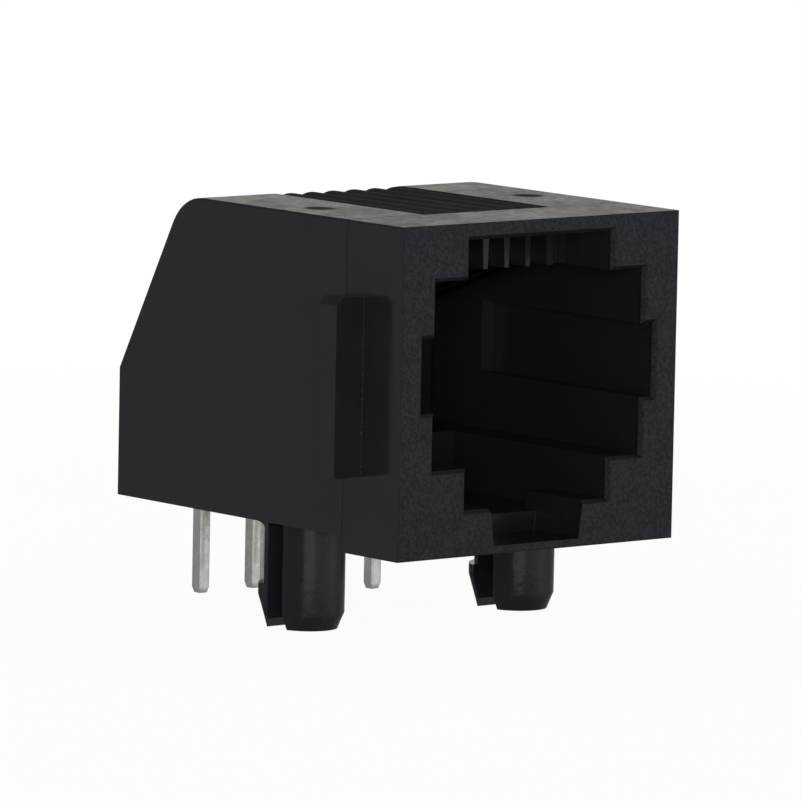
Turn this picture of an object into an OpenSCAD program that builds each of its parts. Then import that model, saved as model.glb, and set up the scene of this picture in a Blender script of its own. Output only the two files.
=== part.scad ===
// Six-position right-angle modular jack for a circuit board.
// The origin lies on the board's top face, midway between the two pegs.
// +X is to the right seen from the plug side, +Y runs to the back, +Z is up.
// Inside the modules, depths run from the front face and heights from the board.

/* [Housing] */
// Width across the side walls
body_w = 13.2; // [12.8:0.1:15]
// Depth from the front face to the back
body_depth = 16.8; // [16.4:0.1:19]
// Height of the top above the board
body_h = 11.7; // [11.5:0.1:13]
// How far the front lip hangs below the board's top
lip_drop = 0.6; // [0.4:0.05:0.9]
// Depth of the front lip, where the two mould halves meet
lip_depth = 3.25; // [3:0.05:4]
// Height of the upright part of the back
back_h = 4.85; // [4:0.05:6]
// How far the back slopes in towards the top
slope_in = 3.7; // [2.8:0.1:4]
// Radius of the edge between the top and the sloped back
back_edge_r = 2; // [0.8:0.05:2.2]
// Width of the line where the mould halves meet
parting_w = 0.05; // [0.04:0.01:0.12]
// Depth of the line where the mould halves meet
parting_d = 0.02; // [0.015:0.005:0.06]
// Diameter of the two ejector marks on the top
mark_d = 1.3; // [0.8:0.1:1.8]
// Depth of the two ejector marks
mark_depth = 0.03; // [0.02:0.01:0.1]
// How far the ejector marks lie in front of the pegs
mark_ahead = 0.2; // [0:0.1:1]

/* [Plug opening] */
// Width of the plug's space
plug_w = 9.9; // [9.8:0.05:10.2]
// Height of the floor of the plug's space above the board
plug_z = 2.65; // [2.4:0.05:2.7]
// Width across the two side grooves
ear_w = 11.05; // [10.6:0.05:11.4]
// Height of the side grooves
ear_h = 2.75; // [2:0.05:3.2]
// Height of the lower edge of the side grooves above the board
ear_z = 4.78; // [4:0.02:5]
// Depth of the side grooves
ear_depth = 9.35; // [8:0.05:10.5]
// Width of the contact notch above the plug
notch_w = 6.8; // [6.5:0.05:7.4]
// Height of the contact notch above the plug's space
notch_h = 1.47; // [1.2:0.01:1.5]
// Thickness of the roof over the contact notch
notch_roof = 0.63; // [0.5:0.01:0.8]
// Bevel round the front edge of the opening
lead_in = 0.15; // [0.05:0.01:0.2]

/* [Latch] */
// Width of the latch's space
latch_w = 6.76; // [6.4:0.02:7.4]
// Height of the latch shoulder above the board
latch_z = 1.1; // [0.9:0.05:1.4]
// Depth of the latch's space
latch_depth = 9; // [7:0.1:10]
// Thickness of the floor under the latch's space
latch_floor = 0.45; // [0.3:0.05:0.7]
// Width of the latch slot in the lip, at its top
slot_w = 4.42; // [3.8:0.02:4.8]
// How much each side of the latch slot leans in towards its floor
slot_lean = 0.18; // [0:0.02:0.3]
// Thickness of the lip under the latch slot
slot_floor = 0.3; // [0.2:0.05:0.35]
// Thickness of the lip behind the slot's lower part
slot_back = 0.7; // [0.4:0.05:1.2]

/* [Panel stops] */
// How far a panel stop stands out from the side
stop_out = 1.32; // [0.8:0.01:1.8]
// Thickness of a panel stop
stop_t = 1.05; // [0.7:0.05:1.6]
// Height of a panel stop
stop_h = 6.63; // [5:0.02:8]
// Height of a panel stop's lower end above the board
stop_z = 2.32; // [1.5:0.02:3]
// Height of the bevel at a stop's upper outer edge
stop_bevel_h = 0.27; // [0.1:0.01:0.5]
// How far that bevel goes in
stop_bevel_in = 0.34; // [0.1:0.01:0.6]

/* [Board pegs] */
// Distance between the two pegs
peg_spacing = 10.16; // [10:0.02:10.3]
// Depth of the pegs from the front face
front_to_pegs = 7.1; // [6.6:0.05:7.6]
// Length of the pegs below the board's top
peg_len = 3.97; // [3.4:0.05:4.4]
// Radius of a peg's front half
peg_r = 1.4; // [1.3:0.01:1.5]
// Radius of a peg's springy rear half
leaf_r = 1.64; // [1.5:0.01:1.7]
// How far the barb stands out from the rear half
barb_out = 0.2; // [0.1:0.01:0.25]
// Depth of the barb's shoulder below the board's top
barb_z = 2.3; // [2.1:0.05:2.6]
// Straight length of the barb below its shoulder
barb_h = 0.4; // [0.2:0.05:0.6]
// Distance from the peg's axis to the flat of its front half
peg_flat = 0.22; // [0.15:0.01:0.5]
// Distance from the peg's axis to the flat of its rear half
leaf_flat = 0.5; // [0.3:0.01:0.6]
// Length of the taper at the end of a peg's front half
tip_h = 0.62; // [0.3:0.05:0.8]
// How far the taper at the end of a peg's front half goes in
tip_in = 0.25; // [0.15:0.01:0.4]
// How far the end of a peg's rear half is tapered in from its shank
leaf_tip_in = 0.16; // [0.05:0.01:0.3]
// Chamfer on the lower edge of a peg's rear half, towards the slot
leaf_chamfer = 0.36; // [0.2:0.02:0.5]
// Radius at the root of a peg's rear half
leaf_root_r = 0.3; // [0.1:0.05:0.4]

/* [Contacts] */
// Side of the square contact wire
wire = 0.48; // [0.4:0.01:0.5]
// Distance between contacts in the comb
contact_pitch = 1.016; // [1:0.002:1.03]
// Distance between neighbouring tails along the board
tail_pitch = 1.27; // [1.2:0.01:1.3]
// Distance between the two rows of tails
row_gap = 2.54; // [2.3:0.02:2.6]
// Distance from the back to the rear row of tails
back_to_row = 0.81; // [0.7:0.01:1]
// Length of the tails below the board's top
tail_len = 3.9; // [3.2:0.05:4.2]
// Length of the taper at a tail's end
tail_tip_h = 0.35; // [0.2:0.05:0.6]
// Width of a tail's blunt end
tail_tip_w = 0.24; // [0.14:0.02:0.36]
// Room between the contact run and the roof of its slot
run_gap = 0.08; // [0.04:0.01:0.15]
// Depth of the contact's front bend behind the comb's face
bend_back = 1.3; // [1:0.1:2]
// Radius of the front bend to the middle of the wire
bend_r = 0.55; // [0.45:0.05:0.7]
// Angle of the spring arm below level
arm_angle = 20; // [12:1:24]
// Distance from the end of the spring arm to the carrier's face
arm_end_gap = 1.5; // [1:0.1:2.5]
// Distance from the sloped back to the middle of the wire
back_cover = 1.1; // [0.9:0.05:1.3]

/* [Contact carrier] */
// Width of the carrier's tongue in the housing's top
tongue_w = 6.1; // [6.05:0.05:6.4]
// Width of the comb under the tongue, which keeps the tongue from lifting out
comb_w = 6.56; // [6.5:0.02:6.7]
// Depth of the carrier's block behind the plug's space
block_depth = 4.6; // [4.2:0.1:5]
// Thickness of the comb's ribs at the roof of the contact slots
rib_t = 0.3; // [0.2:0.02:0.34]
// Thickness of the comb's ribs at their lower edge
rib_edge_t = 0.2; // [0.14:0.02:0.3]
// Thickness of the roof over the contact slots
roof_t = 0.7; // [0.5:0.02:0.8]
// How far the comb hangs below the top of the plug's space
comb_drop = 0.07; // [0:0.01:0.15]
// Height of a ridge on the tongue
ridge_h = 0.12; // [0.08:0.01:0.2]
// How far the ridges stand above the housing's top
ridge_proud = 0.02; // [0:0.01:0.06]
// Width of the rail on each side of the carrier
rail_out = 0.4; // [0.25:0.05:0.6]
// Height of the rails
rail_h = 1.2; // [0.8:0.1:1.6]
// Height of the rails above the board
rail_z = 5.6; // [4.5:0.1:7]
// How far the carrier sits in from the housing's back and underside
carrier_in = 0.12; // [0.05:0.01:0.25]
// Clearance round the carrier
carrier_gap = 0.05; // [0.03:0.01:0.1]
// Clearance round a wire where it passes through the carrier
wire_gap = 0.01; // [0.01:0.01:0.03]

/* [Hidden] */
$fn = 64;
eps = 0.01;
contact_n = 6;
notch_top = body_h - notch_roof;
plug_top = notch_top - notch_h;
plug_depth = body_depth - block_depth;
slope_angle = atan(slope_in / (body_h - back_h));
ridge_foot = body_h + ridge_proud - ridge_h - eps;
roof_z = ridge_foot - roof_t;
comb_z = plug_top - comb_drop;
run_z = roof_z - run_gap - wire / 2;
bend_y = lip_depth + bend_back + bend_r;
arm_len = (plug_depth - arm_end_gap - bend_y) / cos(arm_angle) + bend_r * tan(arm_angle);
housing_black = [0.10, 0.10, 0.11];
carrier_black = [0.13, 0.13, 0.14];
tinned = [0.78, 0.76, 0.71];

// Depth of the middle of a wire that runs beside the sloped back, at a height
function slant_y(z) = body_depth - back_cover / cos(slope_angle) - (z - back_h) * tan(slope_angle);
// Height at which that wire reaches a depth
function slant_z(y) = back_h + (body_depth - back_cover / cos(slope_angle) - y) / tan(slope_angle);
// Depth at which the top starts to turn down into the sloped back
function top_end(top, inset) =
  body_depth - slope_in - inset / cos(slope_angle) - (top - body_h) * tan(slope_angle)
  - back_edge_r * tan((90 - slope_angle) / 2);
// Sideways place of the i-th copy in a centred row of contacts
function place(i, pitch) = (i - (contact_n + 1) / 2) * pitch;

// Puts what is drawn from the front face into the part's frame
module from_pegs() { translate([0, -front_to_pegs, 0]) children(); }

// Runs a side view (depth, height) across a width
module across(w) { translate([-w / 2, 0, 0]) rotate([90, 0, 90]) linear_extrude(w) children(); }

// Runs a front view (width, height) back from one depth to another
module along(y0, y1) { translate([0, y1, 0]) rotate([90, 0, 0]) linear_extrude(y1 - y0) children(); }

// A rectangle centred on the middle plane, between two heights
module band(w, z0, z1) { translate([-w / 2, z0]) square([w, z1 - z0]); }

// A box centred on the middle plane, between two depths and two heights
module centred_box(w, y0, y1, z0, z1) { along(y0, y1) band(w, z0, z1); }

// Side view of the housing above the board, with a round edge over the sloped back
module side_view(top, inset, floor_z) {
  tangent = back_edge_r * tan((90 - slope_angle) / 2);
  back = body_depth - inset;
  bend = top_end(top, inset);
  polygon([
    [0, floor_z],
    [back, floor_z],
    [back, back_h - inset * tan(slope_angle / 2)],
    [bend + tangent * (1 + sin(slope_angle)), top - tangent * cos(slope_angle)],
    [bend, top],
    [0, top]
  ]);
  translate([bend, top - back_edge_r]) circle(back_edge_r);
}

// A rectangular way in through the front wall, bevelled at the front face
module way_in(w, z0, z1) {
  mouth = lead_in + eps;
  centred_box(w, -eps, lip_depth, z0, z1);
  intersection() {
    across(body_w) polygon([[-eps, z0 - mouth], [lead_in, z0], [lead_in, z1], [-eps, z1 + mouth]]);
    translate([0, 0, -body_h]) linear_extrude(3 * body_h)
      polygon([[-w / 2 - mouth, -eps], [w / 2 + mouth, -eps], [w / 2, lead_in], [-w / 2, lead_in]]);
  }
}

// Front view of the narrow latch slot, which leans in towards its floor
module slot_view() {
  half = slot_w / 2;
  polygon([
    [-half, latch_z + eps],
    [half, latch_z + eps],
    [half - slot_lean, slot_floor - lip_drop],
    [-half + slot_lean, slot_floor - lip_drop]
  ]);
}

// The space that a plug and its latch take up inside the housing
module plug_space() {
  difference() {
    union() {
      way_in(notch_w, plug_top - eps, notch_top);
      way_in(plug_w, plug_z, plug_top);
      way_in(ear_w, ear_z, ear_z + ear_h);
      way_in(latch_w, latch_z, plug_z + eps);
      along(-eps, lip_depth) slot_view();
    }
    centred_box(slot_w, lip_depth - slot_back, lip_depth + eps, -lip_drop, latch_floor);
  }
  centred_box(plug_w, lip_depth - eps, body_depth + eps, plug_z, plug_top);
  centred_box(ear_w, lip_depth - eps, ear_depth, ear_z, ear_z + ear_h);
  centred_box(latch_w, lip_depth - eps, latch_depth, latch_floor, plug_z + eps);
}

// The space that the carrier slides into from the back
module carrier_space() {
  centred_box(tongue_w, lip_depth, body_depth + eps, plug_top - eps, body_h + eps);
  centred_box(comb_w + 2 * carrier_gap, lip_depth, body_depth + eps, plug_top - eps, notch_top);
  centred_box(plug_w, plug_depth, body_depth + eps, -eps, plug_z + eps);
  centred_box(plug_w + 2 * rail_out, plug_depth, body_depth + eps, rail_z, rail_z + rail_h);
}

// A fine groove round the top and sides, where the mould halves meet
module parting_line() {
  y0 = lip_depth - parting_w / 2;
  difference() {
    centred_box(body_w + 2 * eps, y0, y0 + parting_w, 0, body_h + eps);
    centred_box(body_w - 2 * parting_d, y0 - eps, y0 + parting_w + eps, -eps, body_h - parting_d);
  }
}

// A shallow round mark in the top, nearly over a peg
module ejector_mark() {
  translate([peg_spacing / 2, front_to_pegs - mark_ahead, body_h - mark_depth])
    cylinder(d = mark_d, h = 2 * mark_depth);
}

// The upright stop on one side that meets the back of a panel, bevelled at its upper end
module panel_stop() {
  wall = body_w / 2;
  top = stop_z + stop_h;
  along(lip_depth - stop_t, lip_depth) polygon([
    [wall - eps, stop_z],
    [wall + stop_out, stop_z],
    [wall + stop_out, top - stop_bevel_h],
    [wall + stop_out - stop_bevel_in, top],
    [wall - eps, top]
  ]);
}

// Half outline of a peg's plain front half
module peg_outline() {
  polygon([
    [0, eps],
    [peg_r, eps],
    [peg_r, tip_h - peg_len],
    [peg_r - tip_in, -peg_len],
    [0, -peg_len]
  ]);
}

// Half outline of a peg's springy rear half, with a barb and a round root
module leaf_outline() {
  polygon([
    [0, -leaf_root_r],
    [leaf_r, -leaf_root_r],
    [leaf_r, -barb_z],
    [leaf_r + barb_out, -barb_z],
    [leaf_r + barb_out, -barb_z - barb_h],
    [leaf_r - leaf_tip_in, -peg_len],
    [0, -peg_len]
  ]);
  difference() {
    translate([0, -leaf_root_r]) square([leaf_r + leaf_root_r, leaf_root_r + eps]);
    translate([leaf_r + leaf_root_r, -leaf_root_r]) circle(leaf_root_r);
  }
}

// Side view of the room behind a peg's slot, with the chamfer at its foot
module leaf_side_view() {
  far = 2 * leaf_r;
  polygon([
    [leaf_flat, far],
    [leaf_flat, leaf_chamfer - peg_len],
    [leaf_flat + leaf_chamfer, -peg_len],
    [far, -peg_len],
    [far, far]
  ]);
}

// One peg: a plain front half and a springy rear half, both inside the side wall
module peg() {
  room = 2 * leaf_r;
  wall_out = (body_w - peg_spacing) / 2;
  translate([peg_spacing / 2, front_to_pegs, 0]) {
    intersection() {
      rotate_extrude() peg_outline();
      translate([-room, -room, -2 * peg_len]) cube([2 * room, room - peg_flat, 4 * peg_len]);
    }
    intersection() {
      rotate_extrude() leaf_outline();
      across(2 * room) leaf_side_view();
      translate([-room, 0, -2 * peg_len]) cube([room + wall_out, room, 4 * peg_len]);
    }
  }
}

// The same thing on both sides of the middle plane
module both_sides() {
  children();
  mirror([1, 0, 0]) children();
}

module housing() {
  color(housing_black) from_pegs() {
    difference() {
      union() {
        across(body_w) side_view(body_h, 0, 0);
        centred_box(body_w, 0, lip_depth, -lip_drop, eps);
        both_sides() panel_stop();
      }
      plug_space();
      carrier_space();
      parting_line();
      both_sides() ejector_mark();
    }
    both_sides() peg();
  }
}

// Front view of one contact slot in the comb, wider at its mouth
module contact_slot_view() {
  mouth = (contact_pitch - rib_edge_t) / 2;
  root = (contact_pitch - rib_t) / 2;
  polygon([[-mouth, comb_z], [mouth, comb_z], [root, roof_z], [-root, roof_z]]);
}

// Front view of the tongue, with a comb below
module tongue_view() {
  difference() {
    union() {
      band(comb_w, comb_z, notch_top - carrier_gap);
      band(tongue_w - 2 * carrier_gap, comb_z, ridge_foot);
    }
    for (i = [1 : contact_n]) translate([place(i, contact_pitch), 0]) contact_slot_view();
  }
}

// Front view of the row of round ridges on the tongue, one over each wire
module ridge_row_view() {
  crest = body_h + ridge_proud;
  ridge_r = (pow(contact_pitch / 2, 2) + pow(ridge_h, 2)) / (2 * ridge_h);
  intersection() {
    band(tongue_w - 2 * carrier_gap, ridge_foot - eps, crest + eps);
    for (i = [1 : contact_n]) translate([place(i, contact_pitch), crest - ridge_r]) circle(ridge_r);
  }
}

module contact_carrier() {
  block_w = plug_w - 2 * carrier_gap;
  block_y = plug_depth + carrier_gap;
  neck_z = plug_top - 2 * carrier_gap;
  rail_w = block_w + 2 * rail_out;
  color(carrier_black) from_pegs() difference() {
    union() {
      intersection() {
        along(lip_depth, body_depth) tongue_view();
        across(comb_w) side_view(ridge_foot, carrier_in, carrier_in);
      }
      along(lip_depth, top_end(body_h, carrier_in)) ridge_row_view();
      intersection() {
        across(block_w) side_view(body_h, carrier_in, carrier_in);
        union() {
          centred_box(block_w, block_y, body_depth, 0, plug_top - carrier_gap);
          centred_box(comb_w, block_y, body_depth, neck_z, roof_z + eps);
        }
      }
      intersection() {
        across(rail_w) side_view(body_h, carrier_in, carrier_in);
        centred_box(rail_w, block_y, body_depth, rail_z + carrier_gap, rail_z + rail_h - carrier_gap);
      }
    }
    for (i = [1 : contact_n]) wire_passage(i);
  }
}

// Side view of a wire from its tail up beside the sloped back and forward to a depth
module wire_route_view(row_y, front_y, w) {
  half = w / 2;
  knee = [row_y, slant_z(row_y)];
  shoulder = [slant_y(run_z), run_z];
  knee_corner = half * [1, tan(slope_angle / 2)];
  shoulder_corner = half * [tan(45 - slope_angle / 2), 1];
  polygon([
    [row_y + half, -tail_len],
    knee + knee_corner,
    shoulder + shoulder_corner,
    [front_y, run_z + half],
    [front_y, run_z - half],
    shoulder - shoulder_corner,
    knee - knee_corner,
    [row_y - half, -tail_len]
  ]);
}

// The front bend and the spring arm of a contact, drawn as wide as the housing
module spring() {
  inner_r = bend_r - wire / 2;
  translate([0, bend_y, run_z - bend_r]) rotate([90, 0, 90]) {
    rotate(90) rotate_extrude(angle = 180 - arm_angle)
      translate([inner_r, -body_w / 2]) square([wire, body_w]);
    rotate(-arm_angle) translate([0, -inner_r - wire, -body_w / 2]) cube([arm_len, wire, body_w]);
  }
}

// Front view of a contact: the tail's pitch below, the comb's pitch above
module contact_front_view(i, w) {
  tail_x = place(i, tail_pitch);
  comb_x = place(i, contact_pitch);
  tip = tail_tip_w / 2;
  half = w / 2;
  jog_z0 = plug_z / 2;
  jog_z1 = plug_z + latch_z;
  polygon([
    [tail_x - tip, -tail_len],
    [tail_x + tip, -tail_len],
    [tail_x + half, tail_tip_h - tail_len],
    [tail_x + half, jog_z0],
    [comb_x + half, jog_z1],
    [comb_x + half, body_h],
    [comb_x - half, body_h],
    [comb_x - half, jog_z1],
    [tail_x - half, jog_z0],
    [tail_x - half, tail_tip_h - tail_len]
  ]);
}

// Side view of the point on a tail
module tail_point_view(row_y) {
  tip = tail_tip_w / 2;
  polygon([
    [row_y - tip, -tail_len],
    [row_y + tip, -tail_len],
    [row_y + wire / 2, tail_tip_h - tail_len],
    [body_depth, tail_tip_h - tail_len],
    [body_depth, body_h],
    [0, body_h],
    [0, tail_tip_h - tail_len],
    [row_y - wire / 2, tail_tip_h - tail_len]
  ]);
}

// Depth of the row that a tail stands in: odd ones at the back, even ones in front
function row_depth(i) = body_depth - back_to_row - ((i + 1) % 2) * row_gap;

// The way that a wire takes through the carrier
module wire_passage(i) {
  w = wire + 2 * wire_gap;
  intersection() {
    across(body_w) wire_route_view(row_depth(i), plug_depth - bend_r, w);
    along(0, body_depth) contact_front_view(i, w);
  }
}

// One bent square wire with a pointed tail
module contact(i) {
  color(tinned) from_pegs() intersection() {
    union() {
      across(body_w) intersection() {
        wire_route_view(row_depth(i), bend_y, wire);
        tail_point_view(row_depth(i));
      }
      spring();
    }
    along(0, body_depth) contact_front_view(i, wire);
  }
}

housing();
contact_carrier();
contact(1);  // contact_1
contact(2);  // contact_2
contact(3);  // contact_3
contact(4);  // contact_4
contact(5);  // contact_5
contact(6);  // contact_6
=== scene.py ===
import math
import bmesh
import bpy
from mathutils import Matrix, Vector


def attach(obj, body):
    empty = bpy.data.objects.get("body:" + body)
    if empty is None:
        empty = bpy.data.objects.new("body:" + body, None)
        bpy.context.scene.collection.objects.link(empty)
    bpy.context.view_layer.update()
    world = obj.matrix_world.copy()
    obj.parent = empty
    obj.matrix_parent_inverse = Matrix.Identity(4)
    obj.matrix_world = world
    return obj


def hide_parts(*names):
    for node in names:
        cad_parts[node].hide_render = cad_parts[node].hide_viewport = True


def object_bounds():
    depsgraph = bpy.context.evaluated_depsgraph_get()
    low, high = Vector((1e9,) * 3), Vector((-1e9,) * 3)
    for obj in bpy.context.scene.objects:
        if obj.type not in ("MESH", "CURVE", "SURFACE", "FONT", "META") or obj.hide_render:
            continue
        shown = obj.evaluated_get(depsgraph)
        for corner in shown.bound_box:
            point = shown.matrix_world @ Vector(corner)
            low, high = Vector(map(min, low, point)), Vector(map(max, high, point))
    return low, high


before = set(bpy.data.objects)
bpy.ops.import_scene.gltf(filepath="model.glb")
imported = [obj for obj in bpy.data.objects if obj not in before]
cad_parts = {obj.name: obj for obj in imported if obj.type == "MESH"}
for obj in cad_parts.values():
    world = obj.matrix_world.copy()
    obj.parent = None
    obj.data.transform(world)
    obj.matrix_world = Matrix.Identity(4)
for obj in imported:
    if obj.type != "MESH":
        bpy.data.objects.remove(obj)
cadLow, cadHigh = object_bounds()
mm = 0.001
scene = bpy.context.scene
print("frame: %d solids loaded" % len(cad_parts))


class Signal:  # a shader socket that takes part in sums
    def __init__(self, tree, socket=None):
        self.tree = tree
        self.socket = socket

    def node(self, kind, settings=None, sockets=None, out=0):  # any node: settings first, then values or links
        made = self.tree.nodes.new(kind)
        for key, value in (settings or {}).items():
            setattr(made, key, value)
        for key, value in (sockets or {}).items():
            if isinstance(value, Signal):
                self.tree.links.new(value.socket, made.inputs[key])
            else:
                made.inputs[key].default_value = value
        return Signal(self.tree, made.outputs[out] if made.outputs else None)

    def sum(self, operation, *values):
        return self.node("ShaderNodeMath", {"operation": operation}, dict(enumerate(values)))

    def __add__(self, other): return self.sum("ADD", self, other)
    def __radd__(self, other): return self.sum("ADD", other, self)
    def __sub__(self, other): return self.sum("SUBTRACT", self, other)
    def __rsub__(self, other): return self.sum("SUBTRACT", other, self)
    def __mul__(self, other): return self.sum("MULTIPLY", self, other)
    def __rmul__(self, other): return self.sum("MULTIPLY", other, self)

    def band(self, low, high):  # 0 below low, 1 above high, smooth between; low may be above high
        return self.node("ShaderNodeMapRange", {"interpolation_type": "SMOOTHSTEP"},
                         {"Value": self, "From Min": low, "From Max": high})

    def between(self, first, second):  # a number from first to second
        return self * (second - first) + first

    def tint(self, first, second):  # a colour from first to second
        return self.node("ShaderNodeMix", {"data_type": "RGBA"}, {0: self, 6: first, 7: second}, 2)

    def turn(self, first, second):  # a direction from first to second
        return self.node("ShaderNodeMix", {"data_type": "VECTOR"}, {0: self, 4: first, 5: second}, 1)


def startMaterial(name):
    made = bpy.data.materials.new(name)
    made.use_nodes = True
    made.node_tree.nodes.clear()
    sheet = Signal(made.node_tree)
    metres = sheet.node("ShaderNodeTexCoord", out="Object")
    place = sheet.node("ShaderNodeVectorMath", {"operation": "SCALE"}, {0: metres, "Scale": 1 / mm})  # millimetres
    return made, sheet, place


def endMaterial(sheet, shader):
    sheet.node("ShaderNodeOutputMaterial", None, {"Surface": shader})


def parts(sheet, vector):  # its x, y and z
    split = sheet.node("ShaderNodeSeparateXYZ", None, {0: vector}).socket.node.outputs
    return [Signal(sheet.tree, split[axis]) for axis in "XYZ"]


def grain(sheet, place, scale, detail=3.0, rough=0.55):
    return sheet.node("ShaderNodeTexNoise", None,
                      {"Vector": place, "Scale": scale, "Detail": detail, "Roughness": rough})


def roundEdges(sheet, radius):
    return sheet.node("ShaderNodeBevel", {"samples": 6}, {"Radius": radius})


def reliefNormal(sheet, height, edges=None):  # height in millimetres
    sockets = {"Strength": 1.0, "Distance": mm, "Height": height}
    if edges:
        sockets["Normal"] = edges
    return sheet.node("ShaderNodeBump", None, sockets)


# black moulding, smooth; a pair is a band in millimetres, with nothing at the first and all at the second
moulding = {
    "black": (0.0108, 0.0109, 0.0150, 1),
    "faded": (0.0138, 0.0138, 0.0182, 1),
    # painted light: 'within' is a lighter colour for the plug's space and the peg slots, standing in for light that
    # hardly reaches there
    "within": (0.0178, 0.0172, 0.0245, 1),
    "specular": 0.45,
    "rough": 0.22,
    "roughTop": 0.36,
    "roughFlank": 0.12,
    "coatFlank": 0.36,
    "coatRough": 0.1,
    "cloudScale": 0.45,         # scales of the noises, for each millimetre
    "cloudRough": 0.06,         # and how far they change the roughness
    "fineScale": 22.0,
    "fineRough": 0.05,
    "blotchScale": 3.2,
    "blotchRough": 0.11,
    "finishHeight": 0.0016 * mm,
    "pegHeight": 0.005 * mm,
    "edgeRound": 0.045 * mm,
    "stopRound": 0.07 * mm,
    "top": (11.58, 11.65),
    "flank": (6.52, 6.58),
    "flankFoot": (-0.75, -0.65),
    "stop": (7.5, 7.6),
    "peg": (-0.62, -0.66),
    "pegBack": (0.2, 0.1),      # only the front halves of the pegs
    "slotTop": (-0.1, -0.2),    # the slots in the pegs, where the lighter 'within' colour is painted as light
    "slotFront": (0.0, 0.1),
    "slotBack": (0.62, 0.58),
    "insideWide": (5.7, 5.6),   # the plug's space, where no edge is worn and the lighter 'within' colour is painted as light
    "insideFront": (-7.0, -6.7),
    "insideFoot": (0.2, 0.4),
    "insideBack": (8.4, 8.0),
    "slopeLean": 0.54,
    "insideSlope": (10.9, 10.5),
    "marks": (5.04, -0.2, 0.66),    # dull round marks left by the ejector pins: half spacing, depth, radius
    "markRagged": 0.5,
    "markRough": 0.95,
    "markDip": 0.05 * mm,
    # painted highlight: a lighter colour on the specks of flash stands in for their glints
    "flashGlint": (0.042, 0.044, 0.047, 1),
    "flashLines": ((7.92, -3.85), (6.62, -4.88), (6.6, -7.0)),  # upright edges with specks of flash, painted lighter as glints
    "flashReach": 0.06,
    "flashFoot": (2.3, 2.6),
    "flashTop": (8.7, 8.4),
    "flashScale": 8.0,
    "flashRough": 0.3,
}


def mouldedBlack(name, look):
    made, sheet, place = startMaterial(name)
    across, depth, height = parts(sheet, place)
    wide = across.sum("ABSOLUTE", across)
    cloud = grain(sheet, place, look["cloudScale"], 4.0).band(0.35, 0.68)      # slow changes of the mould's finish
    fine = grain(sheet, place, look["fineScale"], 2.0)
    blotch = grain(sheet, place, look["blotchScale"], 3.0, 0.65).band(0.3, 0.7)

    top = height.band(*look["top"])
    flank = wide.band(*look["flank"]) * height.band(*look["flankFoot"]) * (1 - top)
    peg = height.band(*look["peg"]) * depth.band(*look["pegBack"])
    slots = height.band(*look["slotTop"]) * depth.band(*look["slotFront"]) * depth.band(*look["slotBack"])
    inside = wide.band(*look["insideWide"]) * depth.band(*look["insideFront"]) * depth.band(*look["insideBack"])
    inside = inside * height.band(*look["insideFoot"]) * (1 - top)
    inside = inside * (depth + height * look["slopeLean"]).band(*look["insideSlope"])

    markX, markY, markR = look["marks"]
    ringX, ringY = wide - markX, depth - markY
    ragged = ringX * ringX + ringY * ringY + (blotch - 0.5) * (look["markRagged"] * markR ** 2)
    mark = top * ragged.band(markR ** 2, 0.0)

    # specks of flash along upright edges: the flash is real, and its lighter colour is a painted highlight
    reach = look["flashReach"]
    asides = [(wide - lineX, depth - lineY) for lineX, lineY in look["flashLines"]]
    flashGlint = sum((x * x + y * y).band(reach ** 2, (0.5 * reach) ** 2) for x, y in asides)
    flashGlint = flashGlint * height.band(*look["flashFoot"]) * height.band(*look["flashTop"])
    flashGlint = flashGlint * grain(sheet, place, look["flashScale"], 1.0).band(0.62, 0.68)

    # painted light: inside the plug's space and in the peg slots, the colour is lifted towards 'within'
    black = inside.sum("MAXIMUM", inside, slots).tint(cloud.tint(look["black"], look["faded"]), look["within"])
    rough = top.between(look["rough"], look["roughTop"]) + mark * (look["markRough"] - look["roughTop"])
    rough = rough + flank * (look["roughFlank"] - look["rough"]) + flashGlint * look["flashRough"]
    rough = rough + (cloud - 0.5) * look["cloudRough"] + (fine - 0.5) * look["fineRough"]
    rough = rough + (blotch - 0.5) * (top + peg) * look["blotchRough"]

    plain = sheet.node("ShaderNodeNewGeometry", None, None, "Normal")
    edges = inside.turn(roundEdges(sheet, look["edgeRound"]), plain)
    edges = wide.band(*look["stop"]).turn(edges, roundEdges(sheet, look["stopRound"]))
    relief = fine * (look["finishHeight"] / mm) + blotch * peg * (look["pegHeight"] / mm)
    relief = relief - mark * (look["markDip"] / mm)
    shader = sheet.node("ShaderNodeBsdfPrincipled", None, {
        "Base Color": flashGlint.tint(black, look["flashGlint"]), "Roughness": rough,
        "Normal": reliefNormal(sheet, relief, edges), "Specular IOR Level": look["specular"], "IOR": 1.5,
        "Coat Weight": flank * look["coatFlank"], "Coat Roughness": look["coatRough"]})
    endMaterial(sheet, shader)
    return made


# black moulding, spark-eroded front
erosion = {
    # painted shade and light: the grain's pits are darker and its crests lighter
    "pit": (0.0119, 0.0127, 0.0163, 1),
    "crest": (0.0297, 0.0315, 0.0376, 1),
    # painted highlight: bright specks standing in for glints on the eroded grain
    "glintSpeck": (0.085, 0.092, 0.10, 1),
    "rough": 0.62,
    "fineRough": 0.15,
    "specular": 0.16,
    "grainScale": 8.5,          # grains for each millimetre
    "fineScale": 27.2,
    "patchScale": 1.1,
    "speckScale": 5.2,
    "veinScale": 2.9,
    "grainHeight": 0.022 * mm,
    "edgeRound": 0.12 * mm,
}


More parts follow.
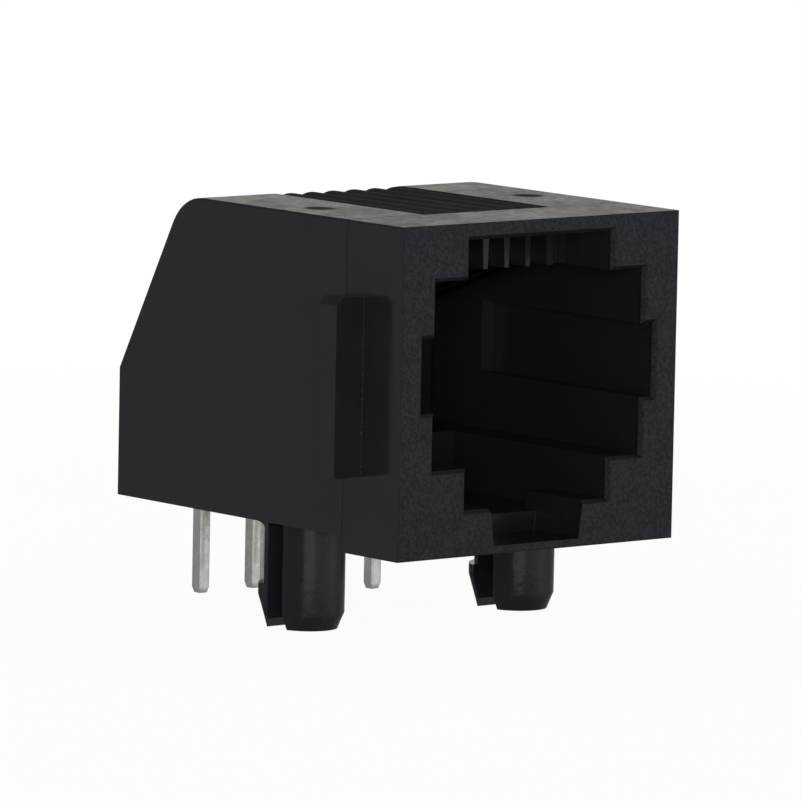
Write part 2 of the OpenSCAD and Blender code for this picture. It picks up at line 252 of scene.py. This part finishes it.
def erodedFront(name, look):
    made, sheet, place = startMaterial(name)
    coarse = grain(sheet, place, look["grainScale"], 2.0, 0.5)
    fine = grain(sheet, place, look["fineScale"], 2.0)
    patches = grain(sheet, place, look["patchScale"], 3.0).band(0.3, 0.7)
    cells = sheet.node("ShaderNodeTexVoronoi", None,
                       {"Vector": place, "Scale": look["speckScale"], "Randomness": 1.0})
    glintSpeck = cells.band(0.18, 0.05) * grain(sheet, place, 2.1, 2.0).band(0.44, 0.62)            # in some places only; the bright colour of these specks is a painted highlight of glints on the grain, and their bump is real
    lines = grain(sheet, place, look["veinScale"], 1.0) - 0.5
    vein = lines.sum("ABSOLUTE", lines).band(0.022, 0.004) * grain(sheet, place, 3.7, 2.0).band(0.48, 0.60)
    # painted shade and light: the colour follows the relief's noise, darker in the pits and lighter on the crests,
    # with random patches mixed in
    mottle = (coarse * 0.8 + fine * 0.2).band(0.34, 0.66) * 0.84 + patches * 0.16
    colour = (glintSpeck * 0.85 + vein * 0.12).tint(mottle.tint(look["pit"], look["crest"]), look["glintSpeck"])
    relief = (coarse + fine * 0.15 + glintSpeck * 0.6 + vein * 0.4) * (look["grainHeight"] / mm)
    shader = sheet.node("ShaderNodeBsdfPrincipled", None, {
        "Base Color": colour, "Roughness": (fine - 0.5) * look["fineRough"] + look["rough"],
        "Normal": reliefNormal(sheet, relief, roundEdges(sheet, look["edgeRound"])),
        "Specular IOR Level": look["specular"], "IOR": 1.5})
    endMaterial(sheet, shader)
    return made


noMarks = (40.0, 0.0, 0.1)      # far outside the part
carrier = dict(moulding, specular=0.4, marks=noMarks)
ridges = dict(moulding, black=(0.0190, 0.0178, 0.0164, 1), faded=(0.0246, 0.0230, 0.0210, 1),
              roughTop=0.85, specular=0.12, marks=noMarks)
housingBlack = mouldedBlack("housing_black", moulding)
housingFront = erodedFront("housing_front", erosion)
carrierBlack = mouldedBlack("carrier_black", carrier)
carrierMatt = mouldedBlack("carrier_matt", ridges)

# plated wire
plating = {
    "tin": (0.96, 0.935, 0.865, 1),
    "tinDull": (0.82, 0.795, 0.725, 1),
    "tinMetal": 0.92,
    # painted shade: the gold is dimmed far below real gold, standing in for the shade the springs sit in
    "shadedGold": (0.18, 0.135, 0.07, 1),
    "goldRough": 0.16,
    "goldAbove": (7.6, 8.4),    # the springs are gilded, the tails are tinned
    "goldBefore": (5.6, 5.0),
    "rough": (0.20, 0.32),
    "bloomScale": 2.4,
    "drawScale": 1.6,
    "drawStretch": (9.0, 9.0, 0.55),
    "drawHeight": 0.0014 * mm,
    "goldHeight": 0.1,          # the springs are polished
}


def platedWire(name, look):
    made, sheet, place = startMaterial(name)
    depth, height = parts(sheet, place)[1:]
    along = sheet.node("ShaderNodeMapping", None, {"Vector": place, "Scale": look["drawStretch"]})
    draw = grain(sheet, along, look["drawScale"], 4.0, 0.6)                     # lines of the drawing die
    bloom = grain(sheet, place, look["bloomScale"], 3.0).band(0.38, 0.66)
    gilded = height.band(*look["goldAbove"])
    gilded = gilded.sum("MAXIMUM", gilded, depth.band(*look["goldBefore"]))
    tin = (bloom * 0.55 + draw.band(0.35, 0.7) * 0.45).tint(look["tin"], look["tinDull"])
    rough = (bloom * 0.6 + draw * 0.4).between(*look["rough"]) + gilded * look["goldRough"]
    relief = draw * gilded.between(1.0, look["goldHeight"]) * (look["drawHeight"] / mm)
    shader = sheet.node("ShaderNodeBsdfPrincipled", None, {
        "Base Color": gilded.tint(tin, look["shadedGold"]), "Roughness": rough, "Normal": reliefNormal(sheet, relief),
        "Metallic": gilded.between(look["tinMetal"], 1.0)})
    endMaterial(sheet, shader)
    return made


contactPlating = platedWire("contact_plating", plating)
print("materials: %d" % len([housingBlack, housingFront, carrierBlack, carrierMatt, contactPlating]))

# mouldings, from the solids with their round faces smoothed
mouldings = {
    "housing": ("housing_moulding", (housingBlack, housingFront), "housing"),
    "contact_carrier": ("carrier_moulding", (carrierBlack, carrierMatt), "contact_carrier"),
}
fitting = {
    "weld": 0.0008 * mm,
    "smoothBelow": math.radians(32),
    "front": 0.2 * mm,          # how far in the eroded front reaches
    "ridges": 11.5 * mm,
    "marks": ((4.3 * mm, 5.8 * mm), (-0.9 * mm, 0.5 * mm), (11.6 * mm, 11.69 * mm)),
    "marksTo": 11.7 * mm,       # the shallow marks are drawn by the finish
    "side": (4.898 * mm, 4.902 * mm),
    "sideFrom": 6.7 * mm,
    "sideTo": 4.9495 * mm,      # light would shine through the sliding clearance
}


def within(value, limits):
    return limits[0] < value < limits[1]


def fitCorner(place, node, look):  # small moves that only the picture needs
    markX, markY, markZ = look["marks"]
    if node == "housing" and within(abs(place.x), markX) and within(place.y, markY) and within(place.z, markZ):
        place.z = look["marksTo"]
    if node == "contact_carrier" and place.z > look["sideFrom"] and within(abs(place.x), look["side"]):
        place.x = math.copysign(look["sideTo"], place.x)


for node, (name, finishes, slotName) in mouldings.items():
    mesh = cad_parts[node].data.copy()
    mesh.name = name
    if mesh.has_custom_normals:
        mesh.attributes.remove(mesh.attributes["custom_normal"])
    work = bmesh.new()
    work.from_mesh(mesh)
    for corner in work.verts:
        fitCorner(corner.co, node, fitting)
    bmesh.ops.remove_doubles(work, verts=work.verts, dist=fitting["weld"])
    for face in work.faces:
        face.smooth = True
    work.to_mesh(mesh)
    work.free()
    mesh.set_sharp_from_angle(angle=fitting["smoothBelow"])
    mesh.materials.clear()
    for finish in finishes:
        mesh.materials.append(finish)
    for face in mesh.polygons:
        upright = face.normal.y < -0.5 and abs(face.normal.z) < 0.1
        front = upright and face.center.y < cadLow.y + fitting["front"]         # eroded, with its upright chamfers
        ridge = node == "contact_carrier" and face.center.z > fitting["ridges"]                 # matt
        face.material_index = int(front or ridge)
    piece = bpy.data.objects.new(name, mesh)
    scene.collection.objects.link(piece)
    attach(piece, "root")
    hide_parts(node)
print("mouldings: %s" % ", ".join(mouldings))

# contacts: square wire along a bent path, in millimetres and degrees
contact = {
    "count": 6,
    "side": 0.48,
    "edge": 0.03,
    "combPitch": 1.016,
    "tailPitch": 1.27,
    "rows": (6.35, 8.89),       # even tails, odd tails
    "tailEnd": -3.9,
    "tipLength": 0.23,
    "tipWidth": 0.35,
    "jog": (1.325, 3.75),
    "runZ": 10.57,
    "slope": 28.375,            # from upright
    "slantFoot": (8.4496, 4.85),
    "bendY": -2.0,
    "bendR": 0.55,
    "bendSteps": 16,
    "armAngle": 20.0,
    "armLength": 6.16,
    "cornerR": 0.45,
    "smoothBelow": 40.0,
}


def rounded(points, radius, steps=6):  # a path with its corners rounded
    made = [points[0]]
    for before, corner, after in zip(points, points[1:], points[2:]):
        back, ahead = (before - corner).normalized(), (after - corner).normalized()
        opening = back.angle(ahead)
        reach = radius / math.tan(opening / 2)
        centre = corner + (back + ahead).normalized() * radius / math.sin(opening / 2)
        start, end = corner + back * reach - centre, corner + ahead * reach - centre
        for step in range(steps + 1):
            made.append(centre + start.slerp(end, step / steps).normalized() * radius)
    return made + [points[-1]]


def contactPath(number, look):
    fromMiddle = number - (look["count"] + 1) / 2
    tailX, combX = fromMiddle * look["tailPitch"], fromMiddle * look["combPitch"]
    row = look["rows"][number % 2]
    lean = math.tan(math.radians(look["slope"]))
    footY, footZ = look["slantFoot"]
    jogLow, jogHigh = look["jog"]
    knee = Vector((combX, row, footZ + (footY - row) / lean))
    shoulder = Vector((combX, footY - (look["runZ"] - footZ) * lean, look["runZ"]))
    bend = Vector((combX, look["bendY"], look["runZ"]))
    points = [Vector((tailX, row, look["tailEnd"] + look["tipLength"])), Vector((tailX, row, jogLow)),
              Vector((combX, row, jogHigh)), knee, shoulder, bend]
    path = [Vector((tailX, row, look["tailEnd"]))] + rounded(points, look["cornerR"])
    centre = bend - Vector((0, 0, look["bendR"]))
    down = math.radians(look["armAngle"])
    for step in range(1, look["bendSteps"] + 1):                                # the front bend
        turn = math.pi / 2 + (math.pi - down) * step / look["bendSteps"]
        path.append(centre + look["bendR"] * Vector((0, math.cos(turn), math.sin(turn))))
    path.append(path[-1] + look["armLength"] * Vector((0, math.cos(down), -math.sin(down))))
    return path


def wireTree(name):  # sweeps a square wire with round edges and a tapered tail along a path
    tree = bpy.data.node_groups.new(name, "GeometryNodeTree")
    for label, kind in (("Path", "Geometry"), ("Side", "Float"), ("Edge Radius", "Float"), ("Tip Length", "Float"),
                        ("Tip Width", "Float"), ("Plating", "Material")):
        tree.interface.new_socket(label, in_out="INPUT", socket_type="NodeSocket" + kind)
    tree.interface.new_socket("Wire", in_out="OUTPUT", socket_type="NodeSocketGeometry")
    sheet = Signal(tree)
    given = sheet.node("NodeGroupInput").socket.node
    take = {socket.name: Signal(tree, socket) for socket in given.outputs}
    curve = sheet.node("GeometryNodeMeshToCurve", None, {"Mesh": take["Path"]})
    run = sheet.node("GeometryNodeSplineParameter", None, None, "Length")
    tip = sheet.node("ShaderNodeMapRange", None, {
        "Value": run, "From Min": 0.0, "From Max": take["Tip Length"],
        "To Min": take["Tip Width"].sum("DIVIDE", take["Tip Width"], take["Side"]), "To Max": 1.0})
    tapered = sheet.node("GeometryNodeSetCurveRadius", None, {"Curve": curve, "Radius": tip})
    square = sheet.node("GeometryNodeCurvePrimitiveQuadrilateral", {"mode": "RECTANGLE"},
                        {"Width": take["Side"], "Height": take["Side"]})
    section = sheet.node("GeometryNodeFilletCurve", {"mode": "POLY"},
                         {"Curve": square, "Count": 3, "Radius": take["Edge Radius"], "Limit Radius": True})
    swept = sheet.node("GeometryNodeCurveToMesh", None, {
        "Curve": tapered, "Profile Curve": section, "Scale": tip, "Fill Caps": True})
    real = sheet.node("GeometryNodeRealizeInstances", None, {"Geometry": swept})
    plated = sheet.node("GeometryNodeSetMaterial", None, {"Geometry": real, "Material": take["Plating"]})
    sheet.node("NodeGroupOutput", None, {"Wire": plated})
    return tree


def setInputs(modifier, values):  # by identifier
    for item in modifier.node_group.interface.items_tree:
        if item.item_type == "SOCKET" and item.in_out == "INPUT" and item.name in values:
            modifier[item.identifier] = values[item.name]


def plainMesh(draft, name):  # the evaluated result as a mesh of its own
    evaluated = draft.evaluated_get(bpy.context.evaluated_depsgraph_get())
    mesh = bpy.data.meshes.new_from_object(evaluated)
    mesh.name = name
    bpy.data.objects.remove(draft)
    return mesh


wire = wireTree("contact_wire")
for number in range(1, contact["count"] + 1):
    name = "contact_wire_%d" % number
    path = [point * mm for point in contactPath(number, contact)]
    line = bpy.data.meshes.new(name + "_path")
    line.from_pydata(path, [(k, k + 1) for k in range(len(path) - 1)], [])
    draft = bpy.data.objects.new(name + "_draft", line)
    scene.collection.objects.link(draft)
    bend = draft.modifiers.new("wire", "NODES")
    bend.node_group = wire
    setInputs(bend, {"Side": contact["side"] * mm, "Edge Radius": contact["edge"] * mm,
                     "Tip Length": contact["tipLength"] * mm, "Tip Width": contact["tipWidth"] * mm,
                     "Plating": contactPlating})
    mesh = plainMesh(draft, name)
    for face in mesh.polygons:
        face.use_smooth = True
    mesh.set_sharp_from_angle(angle=math.radians(contact["smoothBelow"]))
    piece = bpy.data.objects.new(name, mesh)
    scene.collection.objects.link(piece)
    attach(piece, "root")
    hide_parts("contact_%d" % number)
print("contacts: %d wires, %d faces each" % (contact["count"], len(mesh.polygons)))

# camera, as fitted to the photograph, in millimetres and degrees
shot = {
    "place": (-216.83, -264.32, 45.75),
    "yaw": 39.26,
    "pitch": 6.93,
    "roll": 1.16,
    "lens": 413.4,
}
yaw, pitch, roll = (math.radians(shot[key]) for key in ("yaw", "pitch", "roll"))
ahead = Vector((math.sin(yaw) * math.cos(pitch), math.cos(yaw) * math.cos(pitch), -math.sin(pitch)))
level = Vector((math.cos(yaw), -math.sin(yaw), 0))
right = level * math.cos(roll) + level.cross(ahead) * math.sin(roll)
above = right.cross(ahead)
turned = Matrix((right, above, -ahead)).transposed().to_4x4()
camera = bpy.data.objects.new("camera", bpy.data.cameras.new("camera"))
camera.data.lens = shot["lens"]
camera.data.sensor_width = 36.0
camera.data.clip_start = 0.01
camera.matrix_world = Matrix.Translation(Vector(shot["place"]) * mm) @ turned
scene.collection.objects.link(camera)
scene.camera = camera

# stage: a low white backdrop behind, a bright side to the right of the camera, a grey room elsewhere
studio = {
    "floorZ": cadLow.z,
    "floorSize": 0.5,
    "floorColour": (0.80, 0.80, 0.80, 1),
    "floorGlow": 0.95,          # how much of the floor's white doesn't depend on the lamps
    "glow": (0.04, 0.09),       # metres from the middle over which that grows to all of it
    "ambient": (0.26, 0.26, 0.26, 1),
    "cool": (0.93, 0.95, 1.0, 1),
    "room": 0.23,
    "roomAbove": 0.12,
    "aboveRise": (0.3, 0.6),    # parts of a direction: rise is up, deep along the camera's view, across to its right
    "corner": 0.06,             # dark, behind on the left
    "cornerDeep": (0.45, 0.70),
    "cornerAcross": (-0.10, -0.30),
    "rightNear": 1.25,
    "rightMid": 0.60,
    "rightFar": 0.68,
    "rightAcross": (-0.24, -0.14),
    "midAcross": (0.16, 0.46),
    "farAcross": (0.80, 0.96),
    "rightTop": (0.55, 0.35),
    "rightFoot": (-0.60, -0.35),
    "rightBehind": 0.4,         # what is left of it behind the part
    "behindDeep": (-0.1, 0.4),
    "backdrop": (0.80, 0.76, 0.71, 1),
    "backdropDeep": (0.35, 0.75),
    "backdropTop": (0.40, 0.20),
    "backdropFoot": (-0.10, 0.02),
    "backdropLeft": (-0.42, -0.18),
}
white, dark = (1, 1, 1, 1), (0, 0, 0, 1)


def rayKinds(sheet):  # 1 for camera rays, 1 for glossy or transmission rays
    rays = sheet.node("ShaderNodeLightPath").socket.node.outputs
    camera, glossy, through = (Signal(sheet.tree, rays[name]) for name in
                               ("Is Camera Ray", "Is Glossy Ray", "Is Transmission Ray"))
    return camera, glossy.sum("MAXIMUM", glossy, through)


def surroundings(sheet, towards, look):  # the colour of the room in a direction
    deep, across = (sheet.node("ShaderNodeVectorMath", {"operation": "DOT_PRODUCT"}, {0: towards, 1: axis}, "Value")
                    for axis in (Vector((ahead.x, ahead.y, 0)).normalized(), level))
    rise = parts(sheet, towards)[2]
    bright = across.band(*look["midAcross"]).between(look["rightNear"], look["rightMid"])
    bright = bright + across.band(*look["farAcross"]) * (look["rightFar"] - look["rightMid"])
    bright = bright * across.band(*look["rightAcross"])
    bright = bright * rise.band(*look["rightTop"]) * rise.band(*look["rightFoot"])
    bright = bright * deep.band(*look["behindDeep"]).between(1.0, look["rightBehind"])
    grey = rise.band(*look["aboveRise"]).between(look["room"], look["roomAbove"])
    corner = deep.band(*look["cornerDeep"]) * across.band(*look["cornerAcross"])
    grey = grey + corner * (look["corner"] - grey)
    room = bright.sum("MAXIMUM", bright, grey).tint(dark, look["cool"])
    backdrop = deep.band(*look["backdropDeep"]) * across.band(*look["backdropLeft"])
    backdrop = backdrop * rise.band(*look["backdropTop"]) * rise.band(*look["backdropFoot"])
    return backdrop.tint(room, look["backdrop"])


def paleFloor(look):
    made, sheet, place = startMaterial("pale_floor")
    card = sheet.node("ShaderNodeBsdfDiffuse", None, {"Color": look["floorColour"]})
    shine = sheet.node("ShaderNodeEmission", None, {"Color": white, "Strength": 1.0})
    clear = sheet.node("ShaderNodeBsdfTransparent", None, {"Color": white})
    away = sheet.node("ShaderNodeVectorMath", {"operation": "LENGTH"}, {0: place}, "Value")
    camera, glossy = rayKinds(sheet)
    glowFrom, glowAll = look["glow"]
    glow = camera * away.band(glowFrom / mm, glowAll / mm).between(look["floorGlow"], 1.0)
    lit = sheet.node("ShaderNodeMixShader", None, {0: glow, 1: card, 2: shine})
    below = sheet.node("ShaderNodeNewGeometry", None, None, "Backfacing")
    gone = glossy.sum("MAXIMUM", glossy, below)         # reflections see the room, and so does a view from below
    endMaterial(sheet, sheet.node("ShaderNodeMixShader", None, {0: gone, 1: lit, 2: clear}))
    return made


half = studio["floorSize"] / 2
floorMesh = bpy.data.meshes.new("floor")
floorCorners = ((-half, -half), (half, -half), (half, half), (-half, half))
floorMesh.from_pydata([(x, y, studio["floorZ"]) for x, y in floorCorners], [], [(0, 1, 2, 3)])
floorMesh.materials.append(paleFloor(studio))
floor = bpy.data.objects.new("floor", floorMesh)
scene.collection.objects.link(floor)

world = bpy.data.worlds.new("studio")
world.use_nodes = True
world.node_tree.nodes.clear()
air = Signal(world.node_tree)
byCamera, byGloss = rayKinds(air)
outwards = air.node("ShaderNodeTexCoord", out="Generated")                      # a direction, in a world
colour = byCamera.tint(byGloss.tint(studio["ambient"], surroundings(air, outwards, studio)), white)
sky = air.node("ShaderNodeBackground", None, {"Color": colour, "Strength": 1.0})
air.node("ShaderNodeOutputWorld", None, {"Surface": sky})
scene.world = world

# lamps: degrees from the front towards the left, degrees up, metres away, size across and up, watts
lamps = {
    "overhead": (180, 70, 0.45, 0.30, 0.30, 0.7),
    "side": (-60, 14, 0.50, 0.25, 0.25, 0.5),
    "fill": (39, 9, 0.50, 0.12, 0.12, 0.68),
}
for name, (left, up, away, wide, tall, power) in lamps.items():
    lamp = bpy.data.lights.new(name, "AREA")
    lamp.shape = "RECTANGLE"
    lamp.size, lamp.size_y = wide, tall
    lamp.energy = power
    holder = bpy.data.objects.new(name, lamp)
    left, up = math.radians(left), math.radians(up)
    out = Vector((-math.sin(left) * math.cos(up), -math.cos(left) * math.cos(up), math.sin(up)))
    holder.location = out * away
    holder.rotation_euler = out.to_track_quat("Z", "Y").to_euler()
    holder.visible_glossy = name == "side"              # the others leave no highlight
    scene.collection.objects.link(holder)

scene.view_settings.view_transform = "Standard"
print("stage: floor, %d lamps, camera" % len(lamps))
